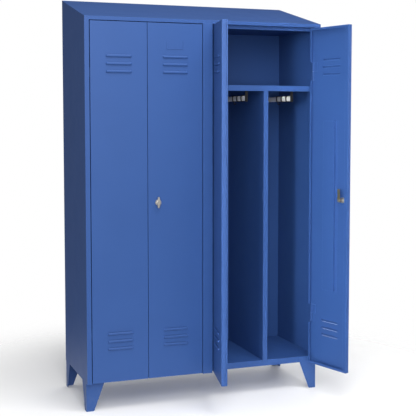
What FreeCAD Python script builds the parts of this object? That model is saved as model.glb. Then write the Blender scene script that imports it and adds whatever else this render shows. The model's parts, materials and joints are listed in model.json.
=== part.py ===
import FreeCAD, Part
import math
import os

# Double clothes locker: two bays side by side, each closed by a pair of leaves that meet in its middle.
# Millimetres, +Z up. The origin is on the floor, under the middle of the body. The front faces -Y.

# Body
width = 1200.0
depth = 500.0
frontHeight = 1850.0
roofRise = 125.0
footHeight = 136.0
bodySheet = 1.2
sideStile = 22.0
postWidth = 48.6
jambBehindLeaf = 4.0
jambLip = 12.0
rearFlange = 18.0
fasciaHeight = 17.0
railGap = 1.5
topRailDrop = 17.0
bottomRailHeight = 30.0
bottomRailGap = 2.0
panelFlange = 15.0
roofLap = 45.0
roofRearFlange = 28.0

# Feet, bent from plate to an angle that tapers to the floor
footSheet = 1.5
footTop = 88.0
footBottom = 36.0
footCorner = 8.0

# Hat shelf and divider
shelfTop = 1544.0
shelfFlange = 27.0
shelfBehindRail = 2.5
dividerBehindLeaf = 5.0
dividerFlange = 24.0
dividerFromMeeting = 2.5
dividerTopGap = 1.0
camSlotBelow = 10.0
camSlotAbove = 46.0
camSlotMargin = 2.0

# Wall fixing holes in the back panel
wallHoleBore = 9.0
wallHoleSpacing = 320.0
wallHoleHeight = 1690.0

# Leaves
leafSheet = 1.0
leafThickness = 20.0
leafBottom = 140.0
leafTopGap = 4.0
jambGap = 4.0
meetingGap = 3.0
endLip = 12.0
freeLip = 20.0
openPassive = 102.0
openActive = 106.0

# Louvres, pressed outward and open along the bottom
louvreLength = 125.0
louvreRadius = 7.0
louvreSlit = 3.0
louvrePitch = 36.0
louvreCount = 3
louvreFromEnd = 158.0

# Hat section stiffener behind each leaf
stiffenerWidth = 76.0
stiffenerHeight = 16.0
stiffenerFlange = 12.0
stiffenerBottom = 530.0
stiffenerLength = 840.0

# Strip along the meeting edge of each passive leaf
stripBase = 14.0
stripDepth = 8.0
stripReturn = 6.0
stripGroove = 2.0

# Lift-off hinges
hingeFromTop = 213.0
hingeFromBottom = 256.0
hingeLength = 90.0
hingeInset = 10.0
hingeSetback = 7.0
knuckleRadius = 4.5
pinRadius = 2.5
pinClearance = 0.08
hingePlate = 2.0
hingeWeld = 1.0
hingeTab = 25.0
hingeFace = 0.2
hingeNotch = 2.0
pinShort = 2.0

# Turn knob lock on each active leaf
lockInset = 48.0
barrelRadius = 9.0
barrelFlange = 14.0
barrelFlangeDepth = 3.0
barrelHoleClearance = 0.2
spindleRadius = 4.0
spindleClearance = 0.08
knobFace = 0.3
knobDiscDepth = 4.0
knobGripDepth = 9.0
knobGripHeight = 52.0
knobGripWidth = 20.0
knobGripTip = 6.0
knobFillet = 2.0
nutWidth = 26.0
nutDepth = 6.0
camReach = 56.0
camWidth = 14.0
camSheet = 2.5
camGap = 1.0
camNeck = 3.0
rivetHead = 5.0
rivetDepth = 2.0

# Card frame on each active leaf
cardWidth = 85.0
cardHeight = 38.0
cardBorder = 4.0
cardRaise = 2.2
cardFromTop = 103.0

# Front-to-back rails, their brackets and sliding hooks
railHeight = 25.0
railWidth = 12.0
railWall = 1.5
railCentre = 1481.0
railFromLeftJamb = 192.0
railFromRightJamb = 117.0
bracketBehindShelf = 5.0
bracketDepth = 5.0
bracketWidth = 14.0
bracketTab = 15.0
bracketTabSheet = 2.5
bracketBelow = 4.0
socketDepth = 4.0
socketBorder = 5.0
hookFirst = 48.0
hookPitch = 57.0
hookCount = 3
hookBand = 8.0
hookWall = 3.0
hookClearance = 0.4
hookStem = 6.0
hookBend = 5.5
hookWire = 2.4

# Worked out from the sizes above
# How far a cutting shape runs past what it cuts
past = 1.0

frontY = -depth / 2
rearY = depth / 2
outerX = width / 2
wallX = outerX - bodySheet
jambX = outerX - sideStile
postX = postWidth / 2
bayWidth = jambX - postX
leafWidth = (bayWidth - 2 * jambGap - meetingGap) / 2
leafTop = frontHeight - fasciaHeight - leafTopGap
floorTop = footHeight + bottomRailHeight + bottomRailGap
ceilingTop = frontHeight - fasciaHeight
ceilingUnder = ceilingTop - bodySheet
roofSlope = roofRise / depth
roofSheetDrop = bodySheet * math.sqrt(1 + roofSlope * roofSlope)
backRear = rearY - bodySheet
backFront = backRear - bodySheet
jambDepth = leafThickness + jambBehindLeaf
stripRear = leafThickness + stripDepth
railSetback = stripRear + railGap
railY = frontY + railSetback
shelfY = railY + shelfBehindRail
shelfUnder = shelfTop - bodySheet
lockZ = (leafBottom + leafTop) / 2
lockU = leafWidth - lockInset
camFront = stripRear + camGap
camRear = camFront + camSheet
hingeHeights = [leafBottom + hingeFromBottom, leafTop - hingeFromTop]
bracketRear = shelfY + bracketBehindShelf + bracketDepth
railRear = backFront - socketDepth


def vec(x, y, z):
    return FreeCAD.Vector(x, y, z)


def block(x0, x1, y0, y1, z0, z1):
    """A box between two values on each axis, given in either order."""
    low = vec(min(x0, x1), min(y0, y1), min(z0, z1))
    high = vec(max(x0, x1), max(y0, y1), max(z0, z1))
    return Part.makeBox(high.x - low.x, high.y - low.y, high.z - low.z, low)


def prism(points, along):
    """The polygon through the points, pushed along a vector."""
    return Part.Face(Part.makePolygon(points + points[:1])).extrude(along)


def join(shapes):
    """One solid from pieces that share faces."""
    return shapes[0].multiFuse(shapes[1:]).removeSplitter()


def mirrorX(shape):
    return shape.mirror(vec(0, 0, 0), vec(1, 0, 0))


def moved(shape, x, y, z):
    copy = shape.copy()
    copy.translate(vec(x, y, z))
    return copy


def save(name, shape):
    os.makedirs("parts", exist_ok=True)
    shape.exportStep("parts/" + name + ".step")


def underRoof(shape):
    """The part of a shape that lies under the sloping roof sheet."""
    low = frontHeight - roofSheetDrop
    high = low + roofRise
    points = [vec(-width, frontY, 0), vec(-width, rearY, 0), vec(-width, rearY, high), vec(-width, frontY, low)]
    return shape.common(prism(points, vec(2 * width, 0, 0)))


# Body sheets


def sidePanel():
    """Left side: outer wall, front stile, jamb with its lip, and rear flange, all one folded sheet."""
    top = frontHeight + roofRise
    lipY = frontY + jambDepth - bodySheet
    shapes = [
        block(-outerX, -wallX, frontY, rearY, footHeight, top),
        block(-outerX, -jambX, frontY, frontY + bodySheet, footHeight, top),
        block(-jambX - bodySheet, -jambX, frontY, frontY + jambDepth, footHeight, top),
        block(-jambX - jambLip, -jambX, lipY, lipY + bodySheet, footHeight, top),
        block(-outerX, -outerX + rearFlange, rearY - bodySheet, rearY, footHeight, top),
    ]
    return underRoof(join(shapes))


def centrePost():
    lipY = frontY + jambDepth - bodySheet
    shapes = [block(-postX, postX, frontY, frontY + bodySheet, footHeight, ceilingTop)]
    for side in (-1, 1):
        edge = side * postX
        shapes.append(block(edge, edge - side * bodySheet, frontY, frontY + jambDepth, footHeight, ceilingTop))
        shapes.append(block(edge, edge - side * jambLip, lipY, lipY + bodySheet, footHeight, ceilingTop))
    return join(shapes)


def centreWall():
    """Flat sheet between the bays, notched for the folded front and rear edges of the top panel."""
    half = bodySheet / 2
    wall = block(-half, half, frontY + bodySheet, backFront, floorTop, ceilingUnder)
    rearEdge = backFront - bodySheet
    wall = wall.cut(block(-half, half, railY, railY + bodySheet, ceilingTop - topRailDrop, ceilingUnder))
    return wall.cut(block(-half, half, rearEdge, backFront, ceilingTop - panelFlange, ceilingUnder))


def backPanel():
    panel = underRoof(block(-wallX, wallX, backFront, backRear, footHeight, frontHeight + roofRise))
    for side in (-1, 1):
        centre = vec(side * wallHoleSpacing / 2, backFront - past, wallHoleHeight)
        panel = panel.cut(Part.makeCylinder(wallHoleBore / 2, bodySheet + 2 * past, centre, vec(0, 1, 0)))
    return panel


def pan(top, drop, reach, rear):
    """Flat sheet with its four edges folded down, the front edge being a rail behind the leaves."""
    low = top - panelFlange
    shapes = [
        block(-reach, reach, railY, rear, top - bodySheet, top),
        block(-reach, reach, railY, railY + bodySheet, top - drop, top),
        block(-reach, reach, rear - bodySheet, rear, low, top),
    ]
    for side in (-1, 1):
        edge = side * reach
        shapes.append(block(edge, edge - side * bodySheet, railY, rear, low, top))
    return join(shapes)


def slopingRoof():
    """Sloping sheet with the fascia folded down at the front and a flange behind the back panel."""
    front = vec(-outerX, frontY, frontHeight)
    rear = vec(-outerX, rearY, frontHeight + roofRise)
    drop = vec(0, 0, -roofSheetDrop)
    sheet = prism([front, rear, rear + drop, front + drop], vec(width, 0, 0))
    inner = frontHeight - roofSheetDrop / 2
    rearTop = frontHeight + roofRise - roofSheetDrop
    flangeX = outerX - rearFlange
    shapes = [
        sheet,
        block(-jambX, jambX, frontY, frontY + bodySheet, ceilingTop, inner),
        block(-jambX, jambX, frontY, frontY + roofLap, ceilingTop, ceilingTop + bodySheet),
        block(-flangeX, flangeX, backRear, rearY, rearTop - roofRearFlange, rearTop),
    ]
    return join(shapes)


def foot():
    """Front left foot: an angle whose two flanges taper toward the floor."""
    cornerX = -wallX
    cornerY = railY - footSheet
    wide = [vec(0, 0, 0), vec(footBottom, 0, 0), vec(footTop, 0, footHeight), vec(footTop, 0, floorTop - bodySheet)]
    outline = wide + [vec(0, 0, floorTop - bodySheet)]
    front = roundedEnd(prism(outline, vec(0, footSheet, 0)), footBottom)
    turn = front.copy()
    turn.rotate(vec(0, 0, 0), vec(0, 0, 1), 90)
    side = moved(turn, footSheet, 0, 0)
    return moved(join([front, side]), cornerX, cornerY, 0)


def roundedEnd(plate, reach):
    """Rounds the lower free corner of a foot flange."""
    edges = [edge for edge in plate.Edges if atCorner(edge, reach)]
    return plate.makeFillet(footCorner, edges)


def atCorner(edge, reach):
    ends = [vertex.Point for vertex in edge.Vertexes]
    return all(abs(end.x - reach) < 0.01 and abs(end.z) < 0.01 for end in ends)


def rearFoot():
    """Rear left foot, the front one turned to stand inside the back panel."""
    front = foot()
    shift = frontY + railSetback - footSheet + backFront
    return moved(front.mirror(vec(0, 0, 0), vec(0, 1, 0)), 0, shift, 0)


def hatShelf():
    """Shelf across the right bay, with its front edge folded down."""
    x0 = bodySheet / 2
    x1 = wallX
    shapes = [
        block(x0, x1, shelfY, backFront, shelfUnder, shelfTop),
        block(x0, x1, shelfY, shelfY + bodySheet, shelfTop - shelfFlange, shelfTop),
        block(x0, x1, backFront - bodySheet, backFront, shelfTop - panelFlange, shelfTop),
        block(x0, x0 + bodySheet, shelfY, backFront, shelfTop - panelFlange, shelfTop),
        block(x1 - bodySheet, x1, shelfY, backFront, shelfTop - panelFlange, shelfTop),
    ]
    return join(shapes)


def divider():
    """Divider of the right bay. Its front edge is folded toward the active leaf, whose cam hooks behind it."""
    x0 = postX + bayWidth / 2 + dividerFromMeeting
    x1 = x0 + bodySheet
    y0 = frontY + leafThickness + dividerBehindLeaf
    frontTop = shelfTop - shelfFlange - dividerTopGap
    wallY = shelfY + bodySheet
    rearBottom = backFront - bodySheet
    shapes = [
        block(x0, x0 + dividerFlange, y0, y0 + bodySheet, floorTop, frontTop),
        block(x0, x1, y0, wallY, floorTop, frontTop),
        block(x0, x1, wallY, rearBottom, floorTop, shelfUnder),
        block(x0, x0 + panelFlange, rearBottom, backFront, floorTop, shelfTop - panelFlange),
    ]
    slotFront = frontY + camFront - camSlotMargin
    slotRear = frontY + camRear + camSlotMargin
    slot = block(x0 - past, x1 + past, slotFront, slotRear, lockZ - camSlotBelow, lockZ + camSlotAbove)
    return join(shapes).cut(slot)


# Leaves. u runs from the hinge edge to the free edge, v from the front face to the rear.


def louvreBody(radius):
    """Front half of a round bar with round ends, with its middle at the origin."""
    half = louvreLength / 2 - louvreRadius
    tip = half + radius
    slant = radius * math.sqrt(0.5)
    rise = [vec(-tip, 0, 0), vec(-half - slant, 0, slant), vec(-half, 0, radius)]
    fall = [vec(half, 0, radius), vec(half + slant, 0, slant), vec(tip, 0, 0)]
    edges = [
        Part.Arc(*rise).toShape(),
        Part.makeLine(rise[2], fall[0]),
        Part.Arc(*fall).toShape(),
        Part.makeLine(fall[2], rise[0]),
    ]
    return Part.Face(Part.Wire(edges)).revolve(vec(0, 0, 0), vec(1, 0, 0), 180)


def louvre():
    """The half-round hood alone, open at the back and slit along both long sides."""
    half = louvreLength / 2 - louvreRadius
    shell = louvreBody(louvreRadius).cut(louvreBody(louvreRadius - leafSheet))
    for side in (-1, 1):
        low, high = side * louvreRadius / 2, side * (louvreRadius + past)
        shell = shell.cut(block(-half, half, -louvreSlit, past, low, high))
    return shell


def louvreSlot():
    """Opening in the front sheet behind one hood."""
    half = louvreLength / 2 - louvreRadius
    radius = louvreRadius - leafSheet
    shapes = [block(-half, half, -past, leafSheet + past, -radius, radius)]
    for side in (-1, 1):
        base = vec(side * half, -past, 0)
        shapes.append(Part.makeCylinder(radius, leafSheet + 2 * past, base, vec(0, 1, 0)))
    return join(shapes)


def louvrePlaces():
    places = []
    for index in range(louvreCount):
        offset = louvreFromEnd + index * louvrePitch
        places.append(leafTop - offset)
        places.append(leafBottom + offset)
    return places


def leafSkin(active):
    """Folded pan of one leaf, with its louvres, hinge notches and, on an active leaf, the lock hole."""
    rear = leafThickness - leafSheet
    outer = block(0, leafWidth, 0, leafThickness, leafBottom, leafTop)
    low = leafBottom + leafSheet
    high = leafTop - leafSheet
    hollow = block(leafSheet, leafWidth - leafSheet, leafSheet, rear, low, high)
    window = block(endLip, leafWidth - freeLip, rear, leafThickness, leafBottom + endLip, leafTop - endLip)
    skin = outer.cut(hollow).cut(window)
    hood = louvre()
    slot = louvreSlot()
    for z in louvrePlaces():
        skin = skin.cut(moved(slot, leafWidth / 2, 0, z))
        skin = skin.fuse(moved(hood, leafWidth / 2, 0, z))
    half = hingeLength / 2 + hingeNotch
    for z in hingeHeights:
        skin = skin.cut(block(-past, endLip, leafSheet, leafThickness + past, z - half, z + half))
    if active:
        hole = barrelRadius + barrelHoleClearance
        skin = skin.cut(Part.makeCylinder(hole, 3 * leafSheet, vec(lockU, -leafSheet, lockZ), vec(0, 1, 0)))
    return skin.removeSplitter()


def stiffener():
    """Hat section standing on the inner face of the front sheet."""
    middle = leafWidth / 2
    half = stiffenerWidth / 2
    base = leafSheet
    crown = base + stiffenerHeight
    z0 = stiffenerBottom
    z1 = z0 + stiffenerLength
    shapes = [block(middle - half, middle + half, crown - leafSheet, crown, z0, z1)]
    for side in (-1, 1):
        edge = middle + side * half
        shapes.append(block(edge, edge - side * leafSheet, base, crown, z0, z1))
        shapes.append(block(edge - side * leafSheet, edge + side * stiffenerFlange, base, base + leafSheet, z0, z1))
    return join(shapes)


def meetingStrip():
    """Folded strip down the free edge of a passive leaf, flush with that edge."""
    riser = leafWidth - stripReturn
    z0 = leafBottom
    z1 = leafTop
    start = leafThickness
    shapes = [
        block(riser - stripBase, riser, start, start + leafSheet, z0, z1),
        block(riser - leafSheet, riser, start, stripRear, z0, z1),
        block(riser - leafSheet, leafWidth, stripRear - leafSheet, stripRear, z0, z1),
        block(leafWidth - leafSheet, leafWidth, start + stripGroove, stripRear, z0, z1),
    ]
    return join(shapes)


def pinCylinder(radius, z0, z1):
    return Part.makeCylinder(radius, z1 - z0, vec(hingeInset, hingeSetback, z0), vec(0, 0, 1))


def leafHinges():
    """Upper knuckle of each hinge, with the plate that joins it to the front sheet."""
    solids = []
    for z in hingeHeights:
        z0 = z + hingeFace
        z1 = z + hingeLength / 2
        plateRear = hingeSetback - knuckleRadius + hingeWeld
        plate = block(hingeInset, hingeInset + hingeTab, leafSheet, plateRear, z0, z1)
        body = plate.fuse(pinCylinder(knuckleRadius, z0, z1))
        solids.append(body.cut(pinCylinder(pinRadius + pinClearance, z0 - past, z1 + past)))
    return Part.makeCompound(solids)


def frameHinges():
    """Lower knuckle of each hinge, on an arm that comes round behind the leaf from the jamb's lip."""
    solids = []
    for z in hingeHeights:
        z0 = z - hingeLength / 2
        z1 = z - hingeFace
        half = hingePlate / 2
        armRear = jambDepth + hingePlate
        arm = block(hingeInset - half, hingeInset + half, hingeSetback, armRear, z0, z1)
        cross = block(-jambGap - jambLip, hingeInset + half, jambDepth, armRear, z0, z1)
        body = arm.fuse(cross).fuse(pinCylinder(knuckleRadius, z0, z1))
        solids.append(body.cut(pinCylinder(pinRadius, z0 - past, z1 + past)))
    return solids


def hingePins():
    half = hingeLength / 2
    return [pinCylinder(pinRadius, z - half, z + half - pinShort) for z in hingeHeights]


def cardFrame():
    """Raised frame for a name card, open along its top."""
    z = leafTop - cardFromTop
    middle = leafWidth / 2
    halfWidth = cardWidth / 2
    halfHeight = cardHeight / 2
    outer = block(middle - halfWidth, middle + halfWidth, -cardRaise, 0, z - halfHeight, z + halfHeight)
    inside = halfWidth - cardBorder
    window = block(middle - inside, middle + inside, -cardRaise, 0, z - halfHeight + cardBorder, z + halfHeight)
    return outer.cut(window)


def lockTurned(radius, v0, v1):
    """Cylinder about the lock's axis between two depths."""
    return Part.makeCylinder(radius, v1 - v0, vec(lockU, v0, lockZ), vec(0, 1, 0))


def lockBarrel():
    """Threaded barrel through the front sheet, with a flange outside."""
    flange = lockTurned(barrelFlange, -barrelFlangeDepth, 0)
    body = flange.fuse(lockTurned(barrelRadius, -barrelFlangeDepth, stripRear))
    bore = lockTurned(spindleRadius + spindleClearance, -barrelFlangeDepth - past, stripRear + past)
    return body.cut(bore)


def lockNut():
    """Hexagonal nut that draws the barrel against the inner face of the front sheet."""
    corner = nutWidth / math.sqrt(3)
    points = []
    for index in range(6):
        angle = math.radians(60 * index)
        points.append(vec(lockU + corner * math.cos(angle), leafSheet, lockZ + corner * math.sin(angle)))
    return prism(points, vec(0, nutDepth, 0)).cut(lockTurned(barrelRadius, 0, leafSheet + nutDepth + past))


def knobGrip(front, rear):
    """Wing of the knob, widest at the middle and narrow at its two ends."""
    half = knobGripHeight / 2
    wide = knobGripWidth / 2
    tip = knobGripTip / 2
    outline = [(-wide, 0), (-tip, half), (tip, half), (wide, 0), (tip, -half), (-tip, -half)]
    points = [vec(lockU + u, rear, lockZ + z) for u, z in outline]
    return prism(points, vec(0, front - rear, 0))


def turnKnob():
    """Knob, spindle and the riveted end that holds the cam."""
    discRear = -barrelFlangeDepth - knobFace
    discFront = discRear - knobDiscDepth
    gripFront = discFront - knobGripDepth
    grip = knobGrip(gripFront, discFront)
    rounded = grip.makeFillet(knobFillet, [edge for edge in grip.Edges if nearFront(edge, gripFront)])
    shapes = [
        lockTurned(barrelFlange, discFront, discRear),
        rounded,
        lockTurned(spindleRadius, discRear, camFront),
        lockTurned(camNeck, camFront, camRear),
        lockTurned(rivetHead, camRear, camRear + rivetDepth),
    ]
    return join(shapes)


def nearFront(edge, front):
    return all(abs(vertex.Point.y - front) < 0.01 for vertex in edge.Vertexes)


def lockCam():
    """Cam on the spindle, pointing up while the leaf is free to open."""
    half = camWidth / 2
    plate = block(lockU - half, lockU + half, camFront, camRear, lockZ, lockZ + camReach)
    body = plate.fuse(lockTurned(half, camFront, camRear))
    return body.cut(lockTurned(camNeck, camFront - past, camRear + past))


# Placing a leaf's pieces on its jamb


def onLeaf(shape, jamb, side, angle):
    """Puts a piece drawn in u and v on a jamb, and turns it open about the hinge. side is 1 for a left-hung leaf."""
    placed = shape if side > 0 else mirrorX(shape)
    placed = moved(placed, jamb + side * jambGap, frontY, 0)
    axis = vec(jamb + side * (jambGap + hingeInset), frontY + hingeSetback, 0)
    placed.rotate(axis, vec(0, 0, 1), -side * angle)
    return placed


# Rails and hooks, drawn with the rail's middle at x = 0


def ovalBar(grow, y0, y1):
    """Bar of the rail's rounded section, grown all round by a margin."""
    radius = railWidth / 2 + grow
    straight = (railHeight - railWidth) / 2
    shapes = [block(-radius, radius, y0, y1, railCentre - straight, railCentre + straight)]
    for side in (-1, 1):
        centre = vec(0, y0, railCentre + side * straight)
        shapes.append(Part.makeCylinder(radius, y1 - y0, centre, vec(0, 1, 0)))
    return join(shapes)


def hangingRail():
    return ovalBar(0, bracketRear, railRear).cut(ovalBar(-railWall, bracketRear - past, railRear + past))


def railBracket():
    """Drop bracket between the hat shelf and the front end of a rail."""
    half = bracketWidth / 2
    low = railCentre - railHeight / 2 - bracketBelow
    y0 = bracketRear - bracketDepth
    drop = block(-half, half, y0, bracketRear, low, shelfUnder)
    tab = block(-half, half, y0, bracketRear + bracketTab, shelfUnder - bracketTabSheet, shelfUnder)
    return join([drop, tab])


def railSocket():
    """Plate on the back panel that holds the rear end of a rail."""
    half = railWidth / 2 + socketBorder
    rise = railHeight / 2 + socketBorder
    return block(-half, half, railRear, backFront, railCentre - rise, railCentre + rise)


def slidingHook(index):
    """Band round the rail with a small hook under it."""
    y = bracketRear + hookFirst + index * hookPitch
    y0 = y - hookBand / 2
    y1 = y + hookBand / 2
    outer = hookClearance + hookWall
    band = ovalBar(outer, y0, y1)
    low = railCentre - railHeight / 2 - outer
    stemLow = low - hookStem
    stem = Part.makeCylinder(hookWire, hookStem + hookWall / 2, vec(0, y, stemLow), vec(0, 0, 1))
    bend = hookArc(y, stemLow)
    return join([band, stem, bend]).cut(ovalBar(hookClearance, y0 - past, y1 + past))


def hookArc(y, z):
    """Bent wire that turns up again beside the stem, with a round end."""
    reach = hookBend + 2 * hookWire
    ring = Part.makeTorus(hookBend, hookWire, vec(hookBend, y, z), vec(0, 1, 0))
    half = ring.common(block(hookBend - reach, hookBend + reach, y - reach, y + reach, z - reach, z))
    return half.fuse(Part.makeSphere(hookWire, vec(2 * hookBend, y, z)))


def saveBody():
    left = sidePanel()
    save("side_panel_left", left)
    save("side_panel_right", mirrorX(left))
    save("centre_post", centrePost())
    save("centre_wall", centreWall())
    save("back_panel", backPanel())
    save("base_pan", pan(floorTop, bottomRailHeight, wallX - footSheet, backFront - footSheet))
    save("top_panel", pan(ceilingTop, topRailDrop, wallX, backFront))
    save("sloping_roof", slopingRoof())
    front = foot()
    rear = rearFoot()
    save("foot_front_left", front)
    save("foot_front_right", mirrorX(front))
    save("foot_rear_left", rear)
    save("foot_rear_right", mirrorX(rear))


def saveBay(bay, offset):
    """Fixed furniture of one bay, drawn for the right bay and moved by the offset."""
    save("hat_shelf_" + bay, bayShelf(bay))
    save("divider_" + bay, moved(divider(), offset, 0, 0))
    places = {"left": postX + railFromLeftJamb, "right": jambX - railFromRightJamb}
    for half, x in places.items():
        save("hanging_rail_" + bay + "_bay_" + half, moved(hangingRail(), x + offset, 0, 0))
        for index in range(hookCount):
            name = "hook_" + bay + "_bay_" + half + "_" + str(index + 1)
            save(name, moved(slidingHook(index), x + offset, 0, 0))
    brackets = [moved(railBracket(), x + offset, 0, 0) for x in places.values()]
    sockets = [moved(railSocket(), x + offset, 0, 0) for x in places.values()]
    return brackets, sockets


def bayShelf(bay):
    shelf = hatShelf()
    return shelf if bay == "right" else mirrorX(shelf)


def saveLeaf(name, jamb, side, angle, active):
    """Every piece of one leaf. Returns the solids of its hinges that stay on the body."""
    save(name + "_skin", onLeaf(leafSkin(active), jamb, side, angle))
    save(name + "_stiffener", onLeaf(stiffener(), jamb, side, angle))
    save(name + "_hinges", onLeaf(leafHinges(), jamb, side, angle))
    if active:
        save(name + "_card_frame", onLeaf(cardFrame(), jamb, side, angle))
        save(name + "_lock_barrel", onLeaf(lockBarrel(), jamb, side, angle))
        save(name + "_lock_nut", onLeaf(lockNut(), jamb, side, angle))
        save(name + "_knob", onLeaf(turnKnob(), jamb, side, angle))
        save(name + "_cam", onLeaf(lockCam(), jamb, side, angle))
    else:
        save(name + "_meeting_strip", onLeaf(meetingStrip(), jamb, side, angle))
    fixed = [onLeaf(solid, jamb, side, 0) for solid in frameHinges()]
    pins = [onLeaf(solid, jamb, side, 0) for solid in hingePins()]
    return fixed, pins


def main():
    saveBody()
    bayShift = -(jambX + postX)
    brackets = []
    sockets = []
    for bay, offset in (("left", bayShift), ("right", 0)):
        more = saveBay(bay, offset)
        brackets += more[0]
        sockets += more[1]
    save("rail_brackets", Part.makeCompound(brackets))
    save("rail_sockets", Part.makeCompound(sockets))
    leaves = [
        ("left_bay_passive", -jambX, 1, 0, False),
        ("left_bay_active", -postX, -1, 0, True),
        ("right_bay_passive", postX, 1, openPassive, False),
        ("right_bay_active", jambX, -1, openActive, True),
    ]
    fixed = []
    pins = []
    for leaf in leaves:
        more = saveLeaf(*leaf)
        fixed += more[0]
        pins += more[1]
    save("frame_hinges", Part.makeCompound(fixed))
    save("hinge_pins", Part.makeCompound(pins))


main()
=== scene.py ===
import json
import math

import bpy
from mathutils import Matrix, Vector


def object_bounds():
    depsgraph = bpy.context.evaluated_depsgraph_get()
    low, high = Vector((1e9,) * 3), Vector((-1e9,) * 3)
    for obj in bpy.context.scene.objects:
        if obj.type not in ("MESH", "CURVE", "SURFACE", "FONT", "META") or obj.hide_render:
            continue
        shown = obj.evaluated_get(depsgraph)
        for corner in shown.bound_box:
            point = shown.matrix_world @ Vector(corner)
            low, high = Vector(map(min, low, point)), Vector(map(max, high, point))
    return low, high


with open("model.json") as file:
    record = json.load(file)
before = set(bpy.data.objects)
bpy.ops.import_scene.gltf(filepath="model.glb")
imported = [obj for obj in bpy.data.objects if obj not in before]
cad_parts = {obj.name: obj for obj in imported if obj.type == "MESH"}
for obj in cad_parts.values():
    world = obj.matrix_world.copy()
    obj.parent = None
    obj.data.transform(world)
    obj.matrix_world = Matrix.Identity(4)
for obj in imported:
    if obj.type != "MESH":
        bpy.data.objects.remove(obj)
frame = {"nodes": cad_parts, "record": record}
cadLow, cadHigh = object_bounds()  # the box that everything stays inside
nodes = frame["nodes"]
print("frame loaded:", len(nodes), "nodes")


class Wire:
    # One output socket. Arithmetic on it adds Math nodes, or Vector Math where it carries a vector.

    def __init__(self, graph, socket):
        self.graph = graph
        self.socket = socket

    def join(self, operation, first, second):
        pair = [first, second]
        isVector = any(isinstance(side, Wire) and side.socket.type == "VECTOR" for side in pair)
        if not isVector:
            return self.graph.node("ShaderNodeMath", {"operation": operation}, {0: first, 1: second})
        pair = [(side,) * 3 if isinstance(side, (int, float)) else side for side in pair]
        return self.graph.node("ShaderNodeVectorMath", {"operation": operation}, {0: pair[0], 1: pair[1]})

    def __add__(self, other):
        return self.join("ADD", self, other)

    def __radd__(self, other):
        return self.join("ADD", other, self)

    def __sub__(self, other):
        return self.join("SUBTRACT", self, other)

    def __rsub__(self, other):
        return self.join("SUBTRACT", other, self)

    def __mul__(self, other):
        return self.join("MULTIPLY", self, other)

    def __rmul__(self, other):
        return self.join("MULTIPLY", other, self)


class Graph:
    # A node tree while it is being wired up.

    def __init__(self, tree):
        self.tree = tree
        self.tree.nodes.clear()

    def node(self, kind, settings=None, inputs=None, output=0):
        made = self.tree.nodes.new(kind)
        for key, value in (settings or {}).items():
            if key == "stops":
                self.setStops(made.color_ramp, value)
            else:
                setattr(made, key, value)
        for key, value in (inputs or {}).items():
            if isinstance(value, Wire):
                self.tree.links.new(value.socket, made.inputs[key])
            else:
                made.inputs[key].default_value = value
        return Wire(self, made.outputs[output]) if made.outputs else None

    def setStops(self, ramp, stops):
        while len(ramp.elements) < len(stops):
            ramp.elements.new(1.0)
        for element, (place, tone) in zip(ramp.elements, stops):
            element.position = place
            element.color = (tone, tone, tone, 1.0)


edgeGain = 6.0  # how fast a corner's turn becomes a full edge


class Finish(Graph):
    # A material's tree, with the few patterns that the finishes share.

    def __init__(self, name):
        self.material = bpy.data.materials.new(name)
        self.material.use_nodes = True
        super().__init__(self.material.node_tree)

    def place(self, stretch=(1.0, 1.0, 1.0)):
        spot = self.node("ShaderNodeTexCoord", output="Object")  # metres, in the cabinet's own frame
        return spot * Vector(stretch) if stretch != (1.0, 1.0, 1.0) else spot

    def noise(self, spot, scale, detail=2.0, roughness=0.5):
        values = {"Vector": spot, "Scale": scale, "Detail": detail, "Roughness": roughness}
        return self.node("ShaderNodeTexNoise", {}, values)

    def ramp(self, value, stops):
        return self.node("ShaderNodeValToRGB", {"stops": stops}, {"Fac": value})

    def mix(self, amount, first, second):
        return self.node("ShaderNodeMix", {"data_type": "RGBA"}, {0: amount, 6: first, 7: second}, output=2)

    def fade(self, value, near, far, full, curve="LINEAR"):
        # full up to near, then down to nothing at far
        values = {"Value": value, "From Min": near, "From Max": far, "To Min": full, "To Max": 0.0}
        return self.node("ShaderNodeMapRange", {"interpolation_type": curve}, values)

    def rounded(self, radius):
        return self.node("ShaderNodeBevel", {"samples": 6}, {"Radius": radius})

    def edges(self, radius):
        # 0 on flats, rising to 1 on outer and inner corners
        rounded = self.rounded(radius)
        flat = self.node("ShaderNodeNewGeometry", output="Normal")
        same = self.node("ShaderNodeVectorMath", {"operation": "DOT_PRODUCT"}, {0: rounded, 1: flat}, output=1)
        clamped = {"operation": "MULTIPLY", "use_clamp": True}
        return self.node("ShaderNodeMath", clamped, {0: 1.0 - same, 1: edgeGain})

    def bump(self, height, distance, under=None):
        values = {"Strength": 1.0, "Distance": distance, "Height": height}
        if under is not None:
            values["Normal"] = under
        return self.node("ShaderNodeBump", {}, values)

    def close(self, sockets):
        shader = self.node("ShaderNodeBsdfPrincipled", {}, sockets)
        self.node("ShaderNodeOutputMaterial", {}, {"Surface": shader})
        return self.material


# Paint

powderCoat = {
    "colour": (0.031, 0.083, 0.262, 1.0),
    "paintedHighlight": (0.058, 0.140, 0.42, 1.0),  # painted highlight: paler blue along folds and edges
    "deep": (0.028, 0.075, 0.238, 1.0),
    "edgeRadius": 0.0028,
    "edgeShare": 0.55,
    "foldRadius": 0.0012,
    "shine": 0.2,
    "patchScale": 5.0,
    "breakupScale": 90.0,
    "highlightBreakup": [(0.25, 0.55), (0.7, 1.0)],
    "peelScale": 420.0,  # orange peel, about 2.4 mm from crest to crest
    "peelDepth": 0.00012,
    "grainScale": 2600.0,
    "grainDepth": 0.00002,
    "smearScale": 11.0,
    "roughness": (0.40, 0.52),
    "dust": (0.16, 0.19, 0.25, 1.0),
    "dustHeight": 0.16,
    "dustShare": 0.22,
    "dustScale": 60.0,
    "dustSpecks": [(0.45, 0.0), (0.75, 1.0)],
}


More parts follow.
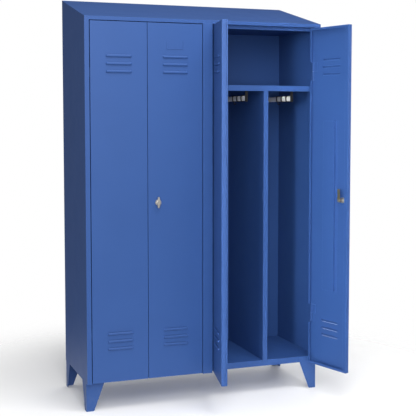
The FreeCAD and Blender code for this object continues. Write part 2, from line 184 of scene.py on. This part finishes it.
def makePaint():
    look = powderCoat
    finish = Finish("powderCoatBlue")
    spot = finish.place()
    patches = finish.noise(spot, look["patchScale"], 3.0, 0.55)
    base = finish.mix(patches, look["deep"], look["colour"])
    # painted highlight: folds and edges turn paler blue in noisy patches
    edge = finish.edges(look["edgeRadius"])
    broken = finish.ramp(finish.noise(spot, look["breakupScale"], 3.0, 0.6), look["highlightBreakup"])
    base = finish.mix(edge * broken * look["edgeShare"], base, look["paintedHighlight"])
    height = finish.node("ShaderNodeSeparateXYZ", {}, {0: spot}, output=2)
    settled = finish.fade(height, 0.0, look["dustHeight"], look["dustShare"])
    specks = finish.ramp(finish.noise(spot, look["dustScale"], 5.0, 0.7), look["dustSpecks"])
    base = finish.mix(settled * specks, base, look["dust"])
    peel = finish.noise(spot, look["peelScale"], 1.0, 0.4)
    grain = finish.noise(spot, look["grainScale"], 2.0, 0.6)
    low, high = look["roughness"]
    smears = finish.noise(spot, look["smearScale"], 4.0, 0.6)
    roughness = smears * (high - low) + low
    coarse = finish.bump(peel, look["peelDepth"], under=finish.rounded(look["foldRadius"]))
    normal = finish.bump(grain, look["grainDepth"], under=coarse)
    sockets = {"Base Color": base, "Roughness": roughness, "Normal": normal, "Specular IOR Level": look["shine"]}
    return finish.close(sockets)


# Bare and plated metal

zincRail = {
    "light": (0.95, 0.95, 0.93, 1.0),
    "dark": (0.86, 0.87, 0.85, 1.0),
    "spangleScale": 130.0,
    "spangleShare": 0.5,
    "toneScale": 40.0,
    "toneShare": 0.6,
    "drawScale": 900.0,
    "drawStretch": (1.0, 0.02, 1.0),  # drawn along the rail
    "drawDepth": 0.00004,
    "metallic": 0.1,
    "roughness": (0.28, 0.46),
}


def makeZinc():
    look = zincRail
    finish = Finish("galvanisedSteel")
    spot = finish.place()
    cells = {"Vector": spot, "Scale": look["spangleScale"]}
    spangle = finish.node("ShaderNodeTexVoronoi", {"feature": "F1"}, cells)
    drawn = finish.noise(finish.place(look["drawStretch"]), look["drawScale"], 3.0, 0.6)
    tone = finish.noise(spot, look["toneScale"], 3.0, 0.6)
    base = finish.mix(spangle * look["spangleShare"] + tone * look["toneShare"], look["dark"], look["light"])
    low, high = look["roughness"]
    roughness = drawn * (high - low) + low
    normal = finish.bump(drawn, look["drawDepth"])
    sockets = {"Base Color": base, "Metallic": look["metallic"], "Roughness": roughness, "Normal": normal}
    return finish.close(sockets)


blackEnamel = {
    "colour": (0.008, 0.008, 0.009, 1.0),
    # painted highlight colour, laid along edges
    "paintedGlint": (0.03, 0.03, 0.03, 1.0),
    "shine": 0.25,
    "edgeRadius": 0.0006,
    "edgeShare": 0.6,
    "breakupScale": 300.0,
    "grainScale": 1500.0,
    "grainDepth": 0.00003,
    "roughness": (0.30, 0.48),
}


def makeBlack():
    look = blackEnamel
    finish = Finish("blackEnamel")
    spot = finish.place()
    # painted highlight: edges lightened to dark grey in noisy patches; the same noise also sets the roughness
    edge = finish.edges(look["edgeRadius"])
    broken = finish.noise(spot, look["breakupScale"], 4.0, 0.7)
    base = finish.mix(edge * broken * look["edgeShare"], look["colour"], look["paintedGlint"])
    low, high = look["roughness"]
    roughness = broken * (high - low) + low
    normal = finish.bump(finish.noise(spot, look["grainScale"], 2.0, 0.5), look["grainDepth"])
    sockets = {"Base Color": base, "Roughness": roughness, "Normal": normal, "Specular IOR Level": look["shine"]}
    return finish.close(sockets)


lockPlate = {
    "light": (0.74, 0.71, 0.64, 1.0),
    "dark": (0.42, 0.39, 0.36, 1.0),
    # edgeRadius and edgeShare size a painted highlight along edges
    "edgeRadius": 0.0012,
    "edgeShare": 0.6,
    "tarnishScale": 160.0,
    "tarnish": [(0.3, 0.0), (0.7, 1.0)],
    "polishScale": 1400.0,
    "polishStretch": (1.0, 1.0, 0.15),
    "polishDepth": 0.00002,
    "metallic": 0.95,
    "roughness": (0.36, 0.52),
}


def makeNickel():
    look = lockPlate
    finish = Finish("nickelPlate")
    spot = finish.place()
    polish = finish.noise(finish.place(look["polishStretch"]), look["polishScale"], 3.0, 0.6)
    tarnish = finish.noise(spot, look["tarnishScale"], 4.0, 0.6)
    base = finish.mix(finish.ramp(tarnish, look["tarnish"]), look["dark"], look["light"])
    # painted highlight: edges lightened to the pale plate colour
    base = finish.mix(finish.edges(look["edgeRadius"]) * look["edgeShare"], base, look["light"])
    low, high = look["roughness"]
    roughness = polish * (high - low) + low
    normal = finish.bump(polish, look["polishDepth"])
    sockets = {"Base Color": base, "Metallic": look["metallic"], "Roughness": roughness, "Normal": normal}
    return finish.close(sockets)


yellowZinc = {
    "gold": (0.62, 0.47, 0.17, 1.0),
    "green": (0.42, 0.46, 0.24, 1.0),
    "rose": (0.60, 0.40, 0.30, 1.0),
    "swirlScale": 70.0,
    "swirl": [(0.4, 0.0), (0.65, 1.0)],
    "cloudScale": 33.0,
    "cloud": [(0.5, 0.0), (0.75, 0.7)],
    "grainScale": 1100.0,
    "grainDepth": 0.00002,
    "metallic": 0.9,
    "roughness": (0.26, 0.42),
}


def makeYellowZinc():
    look = yellowZinc
    finish = Finish("yellowZincPlate")
    spot = finish.place()
    swirl = finish.noise(spot, look["swirlScale"], 4.0, 0.6)
    cloud = finish.noise(spot, look["cloudScale"], 2.0, 0.5)
    base = finish.mix(finish.ramp(swirl, look["swirl"]), look["gold"], look["green"])
    base = finish.mix(finish.ramp(cloud, look["cloud"]), base, look["rose"])
    low, high = look["roughness"]
    roughness = swirl * (high - low) + low
    normal = finish.bump(finish.noise(spot, look["grainScale"], 2.0, 0.5), look["grainDepth"])
    sockets = {"Base Color": base, "Metallic": look["metallic"], "Roughness": roughness, "Normal": normal}
    return finish.close(sockets)


finishes = {
    "blue_paint": makePaint(),
    "zinc_steel": makeZinc(),
    "black_steel": makeBlack(),
    "nickel_lock": makeNickel(),
    "yellow_zinc": makeYellowZinc(),
}
print("finishes made:", len(finishes))

# Folded edges

folds = {
    "radius": 0.0004,
    "segments": 2,
    "from": 40,  # degrees, the least angle that counts as a fold
    "weld": 0.00002,
    "onNodes": ["side_panel", "centre_post", "base_pan", "top_panel", "sloping_roof", "hat_shelf", "divider"],
    "alsoOn": ["stiffener", "meeting_strip", "card_frame"],
}


def isSheet(name):
    return name.startswith(tuple(folds["onNodes"])) or name.endswith(tuple(folds["alsoOn"]))


def roundFolds(piece):
    piece.data.attributes.remove(piece.data.attributes["custom_normal"])
    piece.data.shade_smooth()
    weld = piece.modifiers.new("weld", "WELD")
    weld.merge_threshold = folds["weld"]
    bevel = piece.modifiers.new("folds", "BEVEL")
    bevel.width = folds["radius"]
    bevel.segments = folds["segments"]
    bevel.limit_method = "ANGLE"
    bevel.angle_limit = math.radians(folds["from"])
    bevel.use_clamp_overlap = False
    bevel.harden_normals = True


def dressNodes():
    for part in frame["record"]["subparts"]:
        piece = nodes[part["node"]]
        piece.data.materials.clear()
        piece.data.materials.append(finishes[part["material_slot"]])
        if isSheet(part["node"]):
            roundFolds(piece)


dressNodes()
print("nodes dressed")

# Studio

studio = {
    "floor": (0.96, 0.96, 0.96, 1.0),
    "floorDull": (0.86, 0.86, 0.86, 1.0),
    "floorDullShare": 0.02,
    "floorToneScale": 3.0,
    "floorRoughness": 0.7,
    "floorRadius": 3.2,
    "floorSides": 96,
    "floorFade": (0.20, 0.62),  # shares of the radius between which it melts into the backdrop
    "backdrop": 1.0,
    "ambient": 0.54,
    "glance": 0.14,  # what paint and metal mirror of the backdrop
    "lights": [
        {"name": "key", "place": (-1.0, -3.6, 2.5), "size": 2.0, "power": 76.0},
        {
            "name": "side",  # a narrow beam on the open doors
            "place": (-2.4, -2.9, 1.2),
            "aim": (0.5, -0.5, 1.0),
            "size": 0.5,
            "height": 1.9,
            "spread": 22,
            "power": 4.6,
        },
        {"name": "front", "place": (-1.4, -4.4, 1.25), "size": 0.5, "power": 36.0},
        {"name": "top", "place": (0.3, -2.0, 4.3), "size": 2.6, "power": 98.0},
        {"name": "fill", "place": (4.2, -3.4, 1.6), "size": 2.4, "power": 30.0},
        {"name": "rear", "place": (2.5, 4.2, 1.8), "size": 2.4, "power": 40.0},
    ],
}


def makeFloor():
    finish = Finish("paleFloor")
    spot = finish.place()
    tone = finish.noise(spot, studio["floorToneScale"], 3.0, 0.5) * studio["floorDullShare"]
    base = finish.mix(tone, studio["floor"], studio["floorDull"])
    reach = finish.node("ShaderNodeVectorMath", {"operation": "LENGTH"}, {0: spot}, output=1)
    near, far = (share * studio["floorRadius"] for share in studio["floorFade"])
    shown = finish.fade(reach, near, far, 1.0, "SMOOTHERSTEP")
    return finish.close({"Base Color": base, "Roughness": studio["floorRoughness"], "Alpha": shown})


def layFloor():
    radius = studio["floorRadius"]
    turns = [2 * math.pi * step / studio["floorSides"] for step in range(studio["floorSides"])]
    rim = [(radius * math.cos(turn), radius * math.sin(turn), 0.0) for turn in turns]
    mesh = bpy.data.meshes.new("floor")
    mesh.from_pydata(rim, [], [list(range(len(rim)))])
    floor = bpy.data.objects.new("floor", mesh)
    floor.data.materials.append(makeFloor())
    bpy.context.scene.collection.objects.link(floor)


def makeLights():
    middle = (cadLow + cadHigh) / 2
    for lamp in studio["lights"]:
        data = bpy.data.lights.new(lamp["name"], "AREA")
        data.shape = "RECTANGLE" if "height" in lamp else "DISK"
        data.size = lamp["size"]
        data.size_y = lamp.get("height", lamp["size"])
        data.spread = math.radians(lamp.get("spread", 180))
        data.energy = lamp["power"]
        light = bpy.data.objects.new(lamp["name"], data)
        light.location = lamp["place"]
        light.visible_camera = False
        light.rotation_mode = "QUATERNION"
        aim = Vector(lamp.get("aim", middle)) - light.location
        light.rotation_quaternion = aim.to_track_quat("-Z", "Y")
        bpy.context.scene.collection.objects.link(light)


def makeSky():
    world = bpy.data.worlds.new("studioSky")
    world.use_nodes = True
    graph = Graph(world.node_tree)
    seen = graph.node("ShaderNodeLightPath", output="Is Camera Ray")
    diffuse = graph.node("ShaderNodeLightPath", output="Is Diffuse Ray")
    strength = seen * studio["backdrop"] + diffuse * studio["ambient"]
    strength = strength + (1.0 - seen - diffuse) * studio["glance"]
    white = {"Color": (1.0, 1.0, 1.0, 1.0), "Strength": strength}
    background = graph.node("ShaderNodeBackground", {}, white)
    graph.node("ShaderNodeOutputWorld", {}, {"Surface": background})
    bpy.context.scene.world = world


layFloor()
makeLights()
makeSky()
bpy.context.scene.view_settings.view_transform = "Standard"
print("studio lit")

# Camera

cameraSet = {
    "place": (-1.5555, -4.5009, 1.3794),
    "turn": -20.11,
    "tilt": -4.04,
    "lens": 81.3,
    "rise": -0.0545,
}


def makeCamera():
    data = bpy.data.cameras.new("camera")
    data.lens = cameraSet["lens"]
    data.shift_y = cameraSet["rise"]
    camera = bpy.data.objects.new("camera", data)
    camera.location = cameraSet["place"]
    camera.rotation_euler = (math.radians(90 + cameraSet["tilt"]), 0.0, math.radians(cameraSet["turn"]))
    bpy.context.scene.collection.objects.link(camera)
    bpy.context.scene.camera = camera


makeCamera()
print("camera set")
